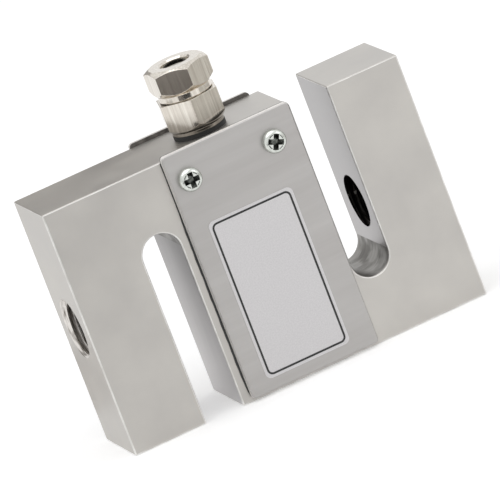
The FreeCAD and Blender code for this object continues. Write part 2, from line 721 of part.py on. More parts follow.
# ----------------------------------------------------------------- the assembly

parts = [make_sensing_body()]
for face in ("front", "back"):
    seal = make_sealing_film(face)
    seat_on_face(seal, face, HALF_THICKNESS)
    cover = make_cover(face)
    seat_on_face(cover, face, COVER_SEAT)
    parts += [seal, cover]
    for side in ("left", "right"):
        screw = make_screw(f"{face}_screw_{side}")
        seat_screw(screw, face, side)
        parts.append(screw)
parts.append(make_label())
parts += [make_gland_washer(), make_gland_body(), make_gland_nut()]
parts += [make_gland_bush(), make_slip_ring()]
for column, x_sign in (("left", -1), ("right", 1)):
    for level, z_sign in (("lower", -1), ("upper", 1)):
        parts.append(make_gauge(f"gauge_{column}_{level}", x_sign, z_sign))
        parts.append(make_lead(f"lead_{column}_{level}", x_sign, z_sign))
parts.append(make_terminal_board())
parts += [make_resistor("balance_resistor", -1), make_resistor("span_resistor", 1)]
doc.recompute()

# ------------------------------------------------------------------ the checks

for item in doc.Objects:
    if "Invalid" in item.State or "Error" in item.State:
        raise RuntimeError(f"{item.Name} is {item.State}")
for part in parts:
    if part.Shape.isNull() or not part.Shape.isValid():
        raise RuntimeError(f"{part.Label} has no valid shape")
    if len(part.Shape.Solids) != 1:
        raise RuntimeError(f"{part.Label} has {len(part.Shape.Solids)} solids")

os.makedirs("parts", exist_ok=True)
for part in parts:
    part.Shape.exportStep(f"parts/{part.Label}.step")
    box = part.Shape.BoundBox
    print(f"{part.Label:20s} {part.Shape.Volume:10.2f} mm3  "
          f"x {box.XMin:7.2f} {box.XMax:7.2f}  y {box.YMin:7.2f} {box.YMax:7.2f}  "
          f"z {box.ZMin:7.2f} {box.ZMax:7.2f}")
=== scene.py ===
import math

import bmesh
import bpy
from mathutils import Matrix, Vector


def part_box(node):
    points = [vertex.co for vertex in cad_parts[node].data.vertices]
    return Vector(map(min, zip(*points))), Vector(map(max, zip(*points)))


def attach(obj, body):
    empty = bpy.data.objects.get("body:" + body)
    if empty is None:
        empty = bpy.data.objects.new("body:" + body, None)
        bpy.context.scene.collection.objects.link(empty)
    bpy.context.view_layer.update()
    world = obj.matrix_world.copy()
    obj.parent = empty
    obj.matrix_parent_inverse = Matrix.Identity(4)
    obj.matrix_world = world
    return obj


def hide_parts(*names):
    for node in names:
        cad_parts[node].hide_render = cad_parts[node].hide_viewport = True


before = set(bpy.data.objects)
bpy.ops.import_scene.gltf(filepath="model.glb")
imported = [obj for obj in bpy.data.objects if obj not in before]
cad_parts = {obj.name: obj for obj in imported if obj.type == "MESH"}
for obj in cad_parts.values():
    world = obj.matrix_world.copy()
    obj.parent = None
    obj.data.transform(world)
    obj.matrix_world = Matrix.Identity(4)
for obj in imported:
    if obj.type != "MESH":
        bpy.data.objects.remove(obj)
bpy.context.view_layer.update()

mm = 0.001  # the CAD sizes are in millimetres, Blender works in metres
fineSteps, boreSteps, rodSteps, holeSteps = 128, 96, 64, 32  # facets round a circle
scene = bpy.context.scene


# small tools

def toLinear(hexColour):
    # sRGB hex to the linear colour that the shaders work in
    parts = [int(hexColour[i:i + 2], 16) / 255 for i in (1, 3, 5)]
    return [c / 12.92 if c <= 0.04045 else ((c + 0.055) / 1.055) ** 2.4 for c in parts] + [1.0]


def connect(tree, node, values):
    # values go on the input sockets: a node's output there makes a link
    for socket, given in values.items():
        if isinstance(given, bpy.types.NodeSocket):
            tree.links.new(given, node.inputs[socket])
        else:
            node.inputs[socket].default_value = given


def addNode(tree, kind, values=None, **settings):
    node = tree.nodes.new("ShaderNode" + kind)
    for name, setting in settings.items():
        setattr(node, name, setting)
    connect(tree, node, values or {})
    return node


def newMaterial(name):
    material = bpy.data.materials.new(name)
    material.use_nodes = True
    tree = material.node_tree
    shader = tree.nodes["Principled BSDF"]
    place = addNode(tree, "TexCoord").outputs["Object"]
    return material, tree, shader, place


def colourRamp(tree, driver, stops):
    ramp = addNode(tree, "ValToRGB", {0: driver})
    points = ramp.color_ramp.elements
    while len(points) < len(stops):
        points.new(0.5)
    for point, (at, colour) in zip(points, stops):
        point.position = at
        point.color = toLinear(colour)
    return ramp.outputs["Color"]


def meshFrom(bm, name, *materials):
    # an object at the origin, with its place in its mesh
    bmesh.ops.recalc_face_normals(bm, faces=bm.faces[:])
    mesh = bpy.data.meshes.new(name)
    bm.to_mesh(mesh)
    bm.free()
    piece = bpy.data.objects.new(name, mesh)
    scene.collection.objects.link(piece)
    for material in materials:
        mesh.materials.append(material)
    return piece


def applyModifiers(piece):
    view = bpy.context.evaluated_depsgraph_get()
    made = bpy.data.meshes.new_from_object(piece.evaluated_get(view), preserve_all_data_layers=True,
                                           depsgraph=view)
    piece.modifiers.clear()
    piece.data = made


def smoothByAngle(piece, degrees=32):
    # round faces shade smoothly and flat ones stay flat
    bm = bmesh.new()
    bm.from_mesh(piece.data)
    for face in bm.faces:
        face.smooth = True
    for edge in bm.edges:
        edge.smooth = len(edge.link_faces) == 2 and edge.calc_face_angle(0) < math.radians(degrees)
    bm.to_mesh(piece.data)
    bm.free()
    piece.data.transform(Matrix.Scale(1 / mm, 4))  # areas in square metres are too small to weigh
    weighted = piece.modifiers.new("weightedNormal", "WEIGHTED_NORMAL")
    weighted.keep_sharp = True
    applyModifiers(piece)
    piece.data.transform(Matrix.Scale(mm, 4))


def paint(piece, *materials):
    piece.data.materials.clear()
    for material in materials:
        piece.data.materials.append(material)


def cutWith(piece, cutters, operation="DIFFERENCE"):
    # applies a boolean for each cutter, then drops the cutters
    for cutter in cutters:
        boolean = piece.modifiers.new("cut", "BOOLEAN")
        boolean.object = cutter
        boolean.operation = operation
        boolean.solver = "EXACT"
    applyModifiers(piece)
    for cutter in cutters:
        bpy.data.objects.remove(cutter)


def turned(name, outline, steps, axis=(0, 0, 1), at=(0, 0, 0)):
    # a solid of revolution from (radius, height) points in mm, about Z, then turned onto axis
    bm = bmesh.new()
    points = [bm.verts.new((radius * mm, 0, height * mm)) for radius, height in outline]
    edges = [bm.edges.new(pair) for pair in zip(points, points[1:])]
    bmesh.ops.spin(bm, geom=points + edges, cent=(0, 0, 0), axis=(0, 0, 1),
                   angle=math.tau, steps=steps, use_merge=True)
    bmesh.ops.remove_doubles(bm, verts=bm.verts[:], dist=1e-7)
    toAxis = Vector((0, 0, 1)).rotation_difference(Vector(axis)).to_matrix().to_4x4()
    bmesh.ops.transform(bm, matrix=Matrix.Translation(Vector(at) * mm) @ toAxis, verts=bm.verts[:])
    return meshFrom(bm, name)


def rod(name, radius, low, high, axis, at=(0, 0, 0), steps=rodSteps):
    return turned(name, [(0, low), (radius, low), (radius, high), (0, high)], steps, axis, at)


def brick(name, low, high):
    # a box between two corners in mm
    bm = bmesh.new()
    bmesh.ops.create_cube(bm, size=1)
    size = Vector(high) - Vector(low)
    bmesh.ops.scale(bm, vec=size * mm, verts=bm.verts[:])
    bmesh.ops.translate(bm, vec=(Vector(low) + Vector(high)) / 2 * mm, verts=bm.verts[:])
    return meshFrom(bm, name)


def finish(piece, slot, *nodes):
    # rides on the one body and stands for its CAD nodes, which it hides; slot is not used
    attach(piece, "root")
    if nodes:
        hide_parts(*nodes)


# materials

def makeSatinNickel():
    # nickel plate on ground alloy steel: an even satin grey with a warm cast, faintly
    # cloudy where the plate took differently, and a fine grain from the grinding
    material, tree, shader, place = newMaterial("satinNickelPlate")
    clouds = addNode(tree, "TexNoise", {"Vector": place, "Scale": 90, "Detail": 3, "Roughness": 0.5})
    tint = colourRamp(tree, clouds.outputs["Fac"], [(0.3, "#B8B5B1"), (0.7, "#C4C1BC")])
    grain = addNode(tree, "TexNoise", {"Vector": place, "Scale": 5000, "Detail": 2})  # 0.2 mm grit
    gloss = addNode(tree, "MapRange", {"Value": clouds.outputs["Fac"], "From Min": 0.3,
                                       "From Max": 0.7, "To Min": 0.36, "To Max": 0.44})
    bump = addNode(tree, "Bump", {"Height": grain.outputs["Fac"], "Strength": 0.06, "Distance": 0.02 * mm})
    connect(tree, shader, {"Base Color": tint, "Roughness": gloss.outputs["Result"],
                           "Normal": bump.outputs["Normal"], "Metallic": 1})
    return material


def makeShadedBoredNickel():
    # the bored round ends of the slots and the gauge window: the same plate over rings that the cutter left,
    # which run round the bore and so are stripes along Y, in tones darker than the faces as painted shade in
    # these hollows
    material, tree, shader, place = newMaterial("boredNickelPaintedShade")
    squeeze = addNode(tree, "Mapping", {"Vector": place, "Scale": (40, 1400, 40)})  # rings 0.7 mm apart
    rings = addNode(tree, "TexNoise", {"Vector": squeeze.outputs["Vector"], "Scale": 1, "Detail": 4,
                                       "Roughness": 0.7})
    # darker than the satin faces: painted shade in the hollows
    tint = colourRamp(tree, rings.outputs["Fac"], [(0.3, "#7F7D7A"), (0.7, "#A3A19D")])
    smear = addNode(tree, "TexNoise", {"Vector": place, "Scale": 260, "Detail": 2})  # 4 mm smears of oil
    oiled = colourRamp(tree, smear.outputs["Fac"], [(0.42, "#B4B2AF"), (0.6, "#FFFFFF")])
    mixed = addNode(tree, "Mix", {0: 1.0, 6: tint, 7: oiled}, data_type="RGBA", blend_type="MULTIPLY")
    bump = addNode(tree, "Bump", {"Height": rings.outputs["Fac"], "Strength": 0.4, "Distance": 0.05 * mm})
    connect(tree, shader, {"Base Color": mixed.outputs[2], "Normal": bump.outputs["Normal"],
                           "Metallic": 1, "Roughness": 0.42})
    return material


def makeShadedMilledNickel(name, lowTone, highTone, roughness):
    # the milled side walls of a slot, with upright cutter marks, in tones darker than the faces as painted
    # shade:
    # the left one is matt and its painted shade deepens towards its closed end, and the right one is
    # glossier and evenly shaded
    material, tree, shader, place = newMaterial(name)
    stretch = addNode(tree, "Mapping", {"Vector": place, "Scale": (300, 700, 60)})  # marks 1.4 mm apart
    marks = addNode(tree, "TexNoise", {"Vector": stretch.outputs["Vector"], "Scale": 1, "Detail": 3})
    axes = addNode(tree, "SeparateXYZ", {0: place})
    drift = addNode(tree, "Math", {0: marks.outputs["Fac"], 1: 6 * mm, 2: axes.outputs["Z"]},
                    operation="MULTIPLY_ADD")
    height = addNode(tree, "MapRange", {"Value": drift.outputs[0], "From Min": 10 * mm, "From Max": 38 * mm})
    # tone by height: painted shade, deepest near the closed end of the left slot
    tint = colourRamp(tree, height.outputs["Result"], [(0.0, lowTone), (1.0, highTone)])
    bump = addNode(tree, "Bump", {"Height": marks.outputs["Fac"], "Strength": 0.15, "Distance": 0.03 * mm})
    connect(tree, shader, {"Base Color": tint, "Normal": bump.outputs["Normal"], "Metallic": 1,
                           "Roughness": roughness})
    return material


def makeHighlightedEdge():
    # the broken edges, with a painted highlight that makes them brighter than the faces beside them
    material, tree, shader, place = newMaterial("paintedHighlightEdge")
    wear = addNode(tree, "TexNoise", {"Vector": place, "Scale": 350, "Detail": 3})  # 3 mm patches
    # pale tones: painted highlight along the edges
    tint = colourRamp(tree, wear.outputs["Fac"], [(0.35, "#D0CECA"), (0.65, "#E6E5E2")])
    connect(tree, shader, {"Base Color": tint, "Metallic": 1, "Roughness": 0.32})
    return material


def makeShadedThreadNickel():
    # the loading threads: light at the mouth and dark further in, which is painted shade inside the hole,
    # with the ragged rings that the tap tore
    material, tree, shader, place = newMaterial("loadingThreadPaintedShade")
    axes = addNode(tree, "SeparateXYZ", {0: place})
    inward = addNode(tree, "Math", {0: axes.outputs["X"]}, operation="ABSOLUTE")
    smear = addNode(tree, "TexNoise", {"Vector": place, "Scale": 700, "Detail": 3})
    drift = addNode(tree, "Math", {0: smear.outputs["Fac"], 1: 2.0 * mm, 2: inward.outputs[0]},
                    operation="MULTIPLY_ADD")
    # depth into the hole sets the painted shade; the smear noise makes its edge ragged
    depth = addNode(tree, "MapRange", {"Value": drift.outputs[0],
                                       "From Min": 35.2 * mm, "From Max": 37.2 * mm})
    tint = colourRamp(tree, depth.outputs["Result"], [(0.0, "#4A4744"), (0.45, "#A09C98"), (0.8, "#DEDAD5")])
    squeeze = addNode(tree, "Mapping", {"Vector": place, "Scale": (2500, 250, 250)})  # rings 0.4 mm apart
    rings = addNode(tree, "TexNoise", {"Vector": squeeze.outputs["Vector"], "Scale": 1, "Detail": 3})
    torn = colourRamp(tree, rings.outputs["Fac"], [(0.38, "#8F8B87"), (0.56, "#FFFFFF")])
    worn = addNode(tree, "Mix", {0: 1.0, 6: tint, 7: torn}, data_type="RGBA", blend_type="MULTIPLY")
    bump = addNode(tree, "Bump", {"Height": rings.outputs["Fac"], "Strength": 0.5, "Distance": 0.12 * mm})
    connect(tree, shader, {"Base Color": worn.outputs[2], "Normal": bump.outputs["Normal"], "Metallic": 1,
                           "Roughness": 0.38})
    return material


def makeDrawnSheet():
    # nickel-plated cover sheet: a little darker than the block, with soft rolling
    # streaks across it that show as long faint bands of tone and gloss
    material, tree, shader, place = newMaterial("drawnCoverSheet")
    stretch = addNode(tree, "Mapping", {"Vector": place, "Scale": (25, 25, 320)})  # bands about 3 mm apart
    bands = addNode(tree, "TexNoise", {"Vector": stretch.outputs["Vector"], "Scale": 1, "Detail": 4,
                                       "Roughness": 0.55})
    tint = colourRamp(tree, bands.outputs["Fac"], [(0.3, "#ADAAA8"), (0.7, "#B9B7B5")])
    hair = addNode(tree, "Mapping", {"Vector": place, "Scale": (160, 160, 9000)})  # 0.1 mm draw lines
    lines = addNode(tree, "TexNoise", {"Vector": hair.outputs["Vector"], "Scale": 1, "Detail": 2})
    gloss = addNode(tree, "MapRange", {"Value": bands.outputs["Fac"], "From Min": 0.3,
                                       "From Max": 0.7, "To Min": 0.34, "To Max": 0.46})
    bump = addNode(tree, "Bump", {"Height": lines.outputs["Fac"], "Strength": 0.08, "Distance": 0.02 * mm})
    connect(tree, shader, {"Base Color": tint, "Roughness": gloss.outputs["Result"],
                           "Normal": bump.outputs["Normal"], "Metallic": 1})
    return material


def makeLitShearedEdge():
    # the cut sides of the cover sheet: the shear tore them matt and even, and their pale tone is a painted
    # highlight
    material, tree, shader, place = newMaterial("shearedSheetEdgePaintedHighlight")
    tear = addNode(tree, "TexNoise", {"Vector": place, "Scale": 2500, "Detail": 3})  # 0.4 mm tears
    # pale tones: painted highlight on the cover's sides
    tint = colourRamp(tree, tear.outputs["Fac"], [(0.3, "#DAD8D5"), (0.7, "#EAE8E5")])
    bump = addNode(tree, "Bump", {"Height": tear.outputs["Fac"], "Strength": 0.3, "Distance": 0.03 * mm})
    connect(tree, shader, {"Base Color": tint, "Normal": bump.outputs["Normal"], "Metallic": 1,
                           "Roughness": 0.7})
    return material


def makeBrightNickel():
    # bright nickel on turned brass: mirror-like with a warm cream cast, upright draw
    # marks on the flats of the hexagon bar, and a brown-grey painted reflection and shade just over the
    # washer
    material, tree, shader, place = newMaterial("brightNickelOnBrass")
    squeeze = addNode(tree, "Mapping", {"Vector": place, "Scale": (2600, 2600, 60)})  # 0.4 mm draw marks
    marks = addNode(tree, "TexNoise", {"Vector": squeeze.outputs["Vector"], "Scale": 1, "Detail": 3})
    tint = colourRamp(tree, marks.outputs["Fac"], [(0.35, "#CDC6BC"), (0.65, "#E2DDD4")])
    axes = addNode(tree, "SeparateXYZ", {0: place})
    drift = addNode(tree, "Math", {0: marks.outputs["Fac"], 1: 1.5 * mm, 2: axes.outputs["Z"]},
                    operation="MULTIPLY_ADD")
    # darker towards the foot: painted reflection of the block's top and painted shade
    footShadeAmount = addNode(tree, "MapRange", {"Value": drift.outputs[0], "From Min": 53.2 * mm,
                                       "From Max": 57.5 * mm, "To Min": 0.62, "To Max": 0.0})
    darkenedAtFoot = addNode(tree, "Mix", {0: footShadeAmount.outputs["Result"], 6: tint, 7: toLinear("#6F675D")},
                      data_type="RGBA")
    bump = addNode(tree, "Bump", {"Height": marks.outputs["Fac"], "Strength": 0.35, "Distance": 0.025 * mm})
    connect(tree, shader, {"Base Color": darkenedAtFoot.outputs[2], "Normal": bump.outputs["Normal"],
                           "Metallic": 1, "Roughness": 0.11})
    return material


def makeZinc():
    # bright zinc plate on cold-headed screws: cool, glossy and slightly uneven
    material, tree, shader, place = newMaterial("brightZincPlate")
    mottle = addNode(tree, "TexNoise", {"Vector": place, "Scale": 1500, "Detail": 3})  # 0.7 mm mottle
    tint = colourRamp(tree, mottle.outputs["Fac"], [(0.3, "#C4C8C2"), (0.7, "#DDE0DB")])
    bump = addNode(tree, "Bump", {"Height": mottle.outputs["Fac"], "Strength": 0.15, "Distance": 0.03 * mm})
    connect(tree, shader, {"Base Color": tint, "Normal": bump.outputs["Normal"], "Metallic": 1,
                           "Roughness": 0.22})
    return material


def makeRecessShade():
    # inside the cross recess: a greenish, scratched wall, darkened as painted shade
    material, tree, shader, place = newMaterial("recessWallPaintedShade")
    scratch = addNode(tree, "TexNoise", {"Vector": place, "Scale": 3000, "Detail": 2})  # 0.3 mm scratches
    tint = colourRamp(tree, scratch.outputs["Fac"], [(0.35, "#3C403D"), (0.65, "#787B76")])
    connect(tree, shader, {"Base Color": tint, "Metallic": 1, "Roughness": 0.35})
    return material


def makeRubber(name, dark, light, roughness, grit):
    # moulded rubber, cured sealant and printed ink: dull and near black, with a fine
    # pebble that breaks up the sheen
    material, tree, shader, place = newMaterial(name)
    pebble = addNode(tree, "TexNoise", {"Vector": place, "Scale": 1000 / grit, "Detail": 3})
    tint = colourRamp(tree, pebble.outputs["Fac"], [(0.3, dark), (0.7, light)])
    bump = addNode(tree, "Bump", {"Height": pebble.outputs["Fac"], "Strength": 0.3, "Distance": 0.05 * mm})
    connect(tree, shader, {"Base Color": tint, "Normal": bump.outputs["Normal"], "Roughness": roughness})
    return material


def makeLabelFoil():
    # matt silver polyester foil: pale grey, a fine speckle of its pigment and a weak sheen
    material, tree, shader, place = newMaterial("mattSilverFoil")
    speckle = addNode(tree, "TexNoise", {"Vector": place, "Scale": 3500, "Detail": 2})  # 0.3 mm speckle
    tint = colourRamp(tree, speckle.outputs["Fac"], [(0.35, "#D5D3D4"), (0.65, "#DDDBDC")])
    bump = addNode(tree, "Bump", {"Height": speckle.outputs["Fac"], "Strength": 0.05, "Distance": 0.02 * mm})
    connect(tree, shader, {"Base Color": tint, "Normal": bump.outputs["Normal"], "Metallic": 0.3,
                           "Roughness": 0.5})
    return material


def makeSmallPartFinish(name, dark, light, roughness, grain):
    # films, laminate and chips: an even colour with the light mottle that each has
    material, tree, shader, place = newMaterial(name)
    mottle = addNode(tree, "TexNoise", {"Vector": place, "Scale": 1000 / grain, "Detail": 3})
    tint = colourRamp(tree, mottle.outputs["Fac"], [(0.3, dark), (0.7, light)])
    connect(tree, shader, {"Base Color": tint, "Roughness": roughness})
    return material


satinNickel = makeSatinNickel()
shadedBoredNickel = makeShadedBoredNickel()
# slot walls: their darker tones are painted shade
leftSlotShadedNickel = makeShadedMilledNickel("dullMilledNickelPaintedShade", "#CFCDCD", "#A8A6A6", 0.48)
rightSlotShadedNickel = makeShadedMilledNickel("glossyMilledNickelPaintedShade", "#A6A3A3", "#A2A0A0", 0.3)
highlightedEdge = makeHighlightedEdge()
threadNickelShadedInside = makeShadedThreadNickel()
drawnSheet = makeDrawnSheet()
litShearedEdge = makeLitShearedEdge()
brightNickel = makeBrightNickel()
zincPlate = makeZinc()
recessShade = makeRecessShade()
blackRubber = makeRubber("mouldedBlackRubber", "#131313", "#1F1F1E", 0.55, 0.3)
sealant = makeRubber("curedBlackSealant", "#161616", "#262626", 0.4, 0.8)
labelFoil = makeLabelFoil()
labelInk = makeRubber("screenPrintedInk", "#262626", "#303030", 0.6, 0.2)
print("materials made")


# the sensing body

bodySizes = {  # mm
    "middleWidth": 29.7,
    "slotWidth": 8.0,
    "neckHeight": 12.7,
    "edgeRound": 0.3,
    "flexureWall": 3.0,
    "windowRoof": 5.55,
    "waistCut": 0.66,
    "threadMinor": 5.1,
    "threadMajor": 6.0,
    "threadPitch": 1.75,
    "threadTurns": 11,
    "threadSteps": 40,  # facets to a turn
    "threadSink": 6.2,
    "glandHole": 4.0,
    "glandShift": -1.0,
    "screwHole": 1.25,
    "screwInset": 5.82,
    "screwDrop": 5.05,
    "screwHoleDepth": 5.5,
    "cutPast": 5.0,  # how far the long cutters run past a face
    "drillPast": 3.0,
}
touching = 1e-3  # mm
blockLow, blockHigh = (Vector(corner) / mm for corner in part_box("sensing_body"))
blockHeight = blockHigh.z
halfLength = blockHigh.x
halfThickness = blockHigh.y
middleHeight = blockHeight / 2
halfMiddle = bodySizes["middleWidth"] / 2
slotCentre = halfMiddle + bodySizes["slotWidth"] / 2
screwAcross = halfMiddle - bodySizes["screwInset"]
screwHeight = blockHeight - bodySizes["screwDrop"]


def slotCutter(side):
    # a slot open at the bottom on the left and at the top on the right, with a bored end
    radius = bodySizes["slotWidth"] / 2
    past = bodySizes["cutPast"]
    reach = halfThickness + past
    if side < 0:
        centre = blockHeight - bodySizes["neckHeight"] - radius
        mouth = -past
    else:
        centre = bodySizes["neckHeight"] + radius
        mouth = blockHeight + past
    bore = rod("slotBore", radius, -reach, reach, (0, 1, 0), (side * slotCentre, 0, centre), boreSteps)
    low, high = sorted((centre, mouth))
    channel = brick("slotChannel", (side * slotCentre - radius, -reach, low),
                    (side * slotCentre + radius, reach, high))
    return [bore, channel]


def roundEdges(piece, offset, segments, wanted):
    # rounds the edges that wanted picks
    bm = bmesh.new()
    bm.from_mesh(piece.data)
    bmesh.ops.remove_doubles(bm, verts=bm.verts[:], dist=1e-6)
    edges = [edge for edge in bm.edges if len(edge.link_faces) == 2 and wanted(edge)]
    bmesh.ops.bevel(bm, geom=edges, offset=offset * mm, offset_type="OFFSET", segments=segments,
                    affect="EDGES", profile=0.5, material=-1, clamp_overlap=True)
    bm.to_mesh(piece.data)
    bm.free()


def threadTap(name, side):
    # the V groove of a loading thread as a solid that winds in along X
    pitch = bodySizes["threadPitch"]
    turns = bodySizes["threadTurns"]
    stepsPerTurn = bodySizes["threadSteps"]
    root = bodySizes["threadMajor"]
    inside = bodySizes["threadMinor"] - 0.15  # the groove opens into the hole
    bm = bmesh.new()
    half = pitch * 0.42  # half the groove's mouth, less than half a pitch so that turns stay apart
    crest = pitch / 16  # half the flat at the groove's root
    corners = [(inside, -half), (root, -crest), (root, crest), (inside, half)]
    profile = bm.faces.new([bm.verts.new((x * mm, 0, r * mm)) for r, x in corners])
    bmesh.ops.spin(bm, geom=[profile] + profile.edges[:] + profile.verts[:], cent=(0, 0, 0), axis=(1, 0, 0),
                   dvec=(pitch * mm / stepsPerTurn, 0, 0), angle=math.tau * turns,
                   steps=stepsPerTurn * turns, use_merge=False)
    start = -halfLength - pitch if side < 0 else halfLength - pitch * (turns - 1)  # one turn is outside
    bmesh.ops.translate(bm, vec=(start * mm, 0, middleHeight * mm), verts=bm.verts[:])
    return meshFrom(bm, name)


def finishOf(face):
    # which finish a face of the block has, from where it lies and how it faces, painted shade and highlight
    # included
    x, y, z = (c / mm for c in face.center)
    margin, inset = 0.01, 1
    radius = bodySizes["slotWidth"] / 2
    side = -1 if x < 0 else 1
    centre = bodySizes["neckHeight"] + radius
    if side < 0:
        centre = blockHeight - centre
    flat = max(abs(part) for part in face.normal) > 0.999
    fromLoadAxis = math.hypot(y, z - middleHeight)
    inLimb = abs(x) > slotCentre + radius - margin
    inSlot = abs(abs(x) - slotCentre) < radius + margin and abs(face.normal.y) < 0.2
    inWindow = (abs(x) < halfMiddle - inset and inset < z < blockHeight - inset
                and abs(face.normal.y) < 0.5)
    if inLimb and not flat and fromLoadAxis < bodySizes["threadSink"] + 0.05:
        return threadNickelShadedInside
    if inWindow or (inSlot and (centre - z) * side > -0.05):
        return shadedBoredNickel
    if inSlot and flat:
        return leftSlotShadedNickel if side < 0 else rightSlotShadedNickel
    # rounded edges that face up stay satin, the others take the painted highlight
    return satinNickel if flat or face.normal.z > 0.3 else highlightedEdge


def makeSensingBody():
    block = brick("sensingBody", blockLow, blockHigh)
    cutWith(block, slotCutter(-1) + slotCutter(1))

    def onOutline(edge):
        # both outlines, the block's corners and the slot mouths, but not the slots' own corners
        middle = (edge.verts[0].co + edge.verts[1].co) / 2 / mm
        if edge.calc_face_angle(0) < math.radians(50):
            return False
        return (abs(abs(middle.y) - halfThickness) < touching or abs(middle.z) < touching
                or abs(middle.z - blockHeight) < touching)

    roundEdges(block, bodySizes["edgeRound"], 3, onOutline)

    radius = halfMiddle - bodySizes["flexureWall"]
    halfPitch = middleHeight - bodySizes["windowRoof"] - radius
    waist = math.sqrt(radius ** 2 - halfPitch ** 2) + bodySizes["waistCut"]
    past = bodySizes["cutPast"]
    drillPast = bodySizes["drillPast"]
    reach = halfThickness + past
    cuts = [rod("gaugeBore", radius, -reach, reach, (0, 1, 0), (0, 0, middleHeight + level * halfPitch),
                boreSteps)
            for level in (-1, 1)]
    cuts.append(brick("waist", (-waist, -reach, middleHeight - halfPitch),
                      (waist, reach, middleHeight + halfPitch)))
    cuts.append(rod("glandHole", bodySizes["glandHole"], -bodySizes["windowRoof"] - radius / 2, past,
                    (0, 0, 1), (bodySizes["glandShift"], 0, blockHeight)))
    for face in (-1, 1):
        for x in (-screwAcross, screwAcross):
            cuts.append(rod("screwHole", bodySizes["screwHole"], -bodySizes["screwHoleDepth"], drillPast,
                            (0, face, 0), (x, face * halfThickness, screwHeight), holeSteps))
    for side in (-1, 1):
        minor = bodySizes["threadMinor"]
        sink = bodySizes["threadSink"]
        innerReach = halfLength - halfMiddle - bodySizes["slotWidth"] / 2
        cuts.append(turned("threadHole", [(0, -innerReach), (minor, -innerReach), (minor, minor - sink),
                                          (sink + drillPast, drillPast), (0, drillPast)],
                           boreSteps, (side, 0, 0),
                           (side * halfLength, 0, middleHeight)))
    cutWith(block, cuts)
    cutWith(block, [threadTap("threadTap", side) for side in (-1, 1)])
    finishes = [satinNickel, shadedBoredNickel, leftSlotShadedNickel, rightSlotShadedNickel, highlightedEdge, threadNickelShadedInside]
    paint(block, *finishes)
    for face in block.data.polygons:
        face.material_index = finishes.index(finishOf(face))
    smoothByAngle(block)
    finish(block, "nickel_steel", "sensing_body")
    return block


sensingBody = makeSensingBody()
print("sensing body made:", len(sensingBody.data.polygons), "faces")


# covers and seals

coverSizes = {  # mm
    "corner": 0.8,
    "edgeRound": 0.38,
    "screwClearance": 1.4,
}


def makeCover(face, node):
    low, high = (Vector(corner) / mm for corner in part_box(node))
    cover = brick(node.replace("_c", "C"), low, high)
    roundEdges(cover, coverSizes["corner"], 6,
               lambda edge: abs((edge.verts[0].co - edge.verts[1].co).normalized().y) > 0.9)
    outer = low.y if face < 0 else high.y
    roundEdges(cover, coverSizes["edgeRound"], 4,
               lambda edge: all(abs(v.co.y / mm - outer) < touching for v in edge.verts))
    past = bodySizes["drillPast"]
    cutWith(cover, [rod("coverHole", coverSizes["screwClearance"], -past, past, (0, 1, 0),
                        (x, (low.y + high.y) / 2, screwHeight), holeSteps)
                    for x in (-screwAcross, screwAcross)])
    # the cover's sides take the sheared finish with its painted highlight
    paint(cover, drawnSheet, litShearedEdge)
    for side in cover.data.polygons:
        side.material_index = int(abs(side.normal.y) < 0.3)
    smoothByAngle(cover)
    finish(cover, "cover_steel", node)


makeCover(-1, "front_cover")
makeCover(1, "back_cover")

beadSizes = {  # mm
    "rows": 90,
    "facetsRound": 6,
    "tuck": 0.15,  # under the cover
    "reach": 0.4,  # past the cover's edge where it is fullest
    "proud": 0.08,
    "rise": 0.4,  # that it stands up for each mm of reach
    "lowGap": 0.9,
    "highGap": 1.3,
    "thinPart": 0.45,  # of the reach, near the screws
    "screwGap": 3.0,
    "fillOut": 9.0,
    "footTaper": 1 / 14,  # of its length
}


def beadSection(height, t):
    # its width and how proud it is, at a height in mm and the part t of the way up: thin
    # near the screws, fuller below them, gone by the lower corner and uneven all along
    b = beadSizes
    below = min(1, max(0, (screwHeight - b["screwGap"] - height) / b["fillOut"]))
    full = (b["thinPart"] + (1 - b["thinPart"]) * below) * min(1, t / b["footTaper"]) ** 0.5
    reach = b["reach"] * full * (1 + 0.08 * math.sin(height * 0.9) + 0.06 * math.sin(height * 2.3 + 1))
    return Vector((b["tuck"] + reach, b["proud"] + b["rise"] * reach, 1))


def makeBead(face, name, node):
    # sealant squeezed out along the left edge of a cover: a quarter round drawn upwards
    b = beadSizes
    low, high = (Vector(corner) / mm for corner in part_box(node))
    foot = low.z + b["lowGap"]
    step = (high.z - b["highGap"] - foot) / b["rows"]
    bm = bmesh.new()
    bmesh.ops.spin(bm, geom=[bm.verts.new((-1, 0, 0))], cent=(0, 0, 0), axis=(0, 0, -face),
                   angle=math.pi / 2, steps=b["facetsRound"], use_merge=False)
    bm.verts.new((0, 0, 0))
    section = bm.faces.new(bm.verts[:])
    size = beadSection(foot, 0)
    bmesh.ops.scale(bm, vec=size, verts=section.verts[:])
    for row in range(1, b["rows"] + 1):
        made = bmesh.ops.extrude_face_region(bm, geom=[section] + section.edges[:])["geom"]
        section = next(item for item in made if isinstance(item, bmesh.types.BMFace))
        wanted = beadSection(foot + row * step, row / b["rows"])
        bmesh.ops.translate(bm, vec=(0, 0, step), verts=section.verts[:])
        bmesh.ops.scale(bm, vec=(wanted.x / size.x, wanted.y / size.y, 1), verts=section.verts[:])
        size = wanted
    inner = Vector((low.x + b["tuck"], face * halfThickness, foot))
    bmesh.ops.transform(bm, matrix=Matrix.Scale(mm, 4) @ Matrix.Translation(inner), verts=bm.verts[:])
    bead = meshFrom(bm, name, sealant)
    smoothByAngle(bead, 50)
    finish(bead, "sealing_film")


makeBead(-1, "frontSealantBead", "front_cover")
makeBead(1, "backSealantBead", "back_cover")
print("covers made")


# the screws

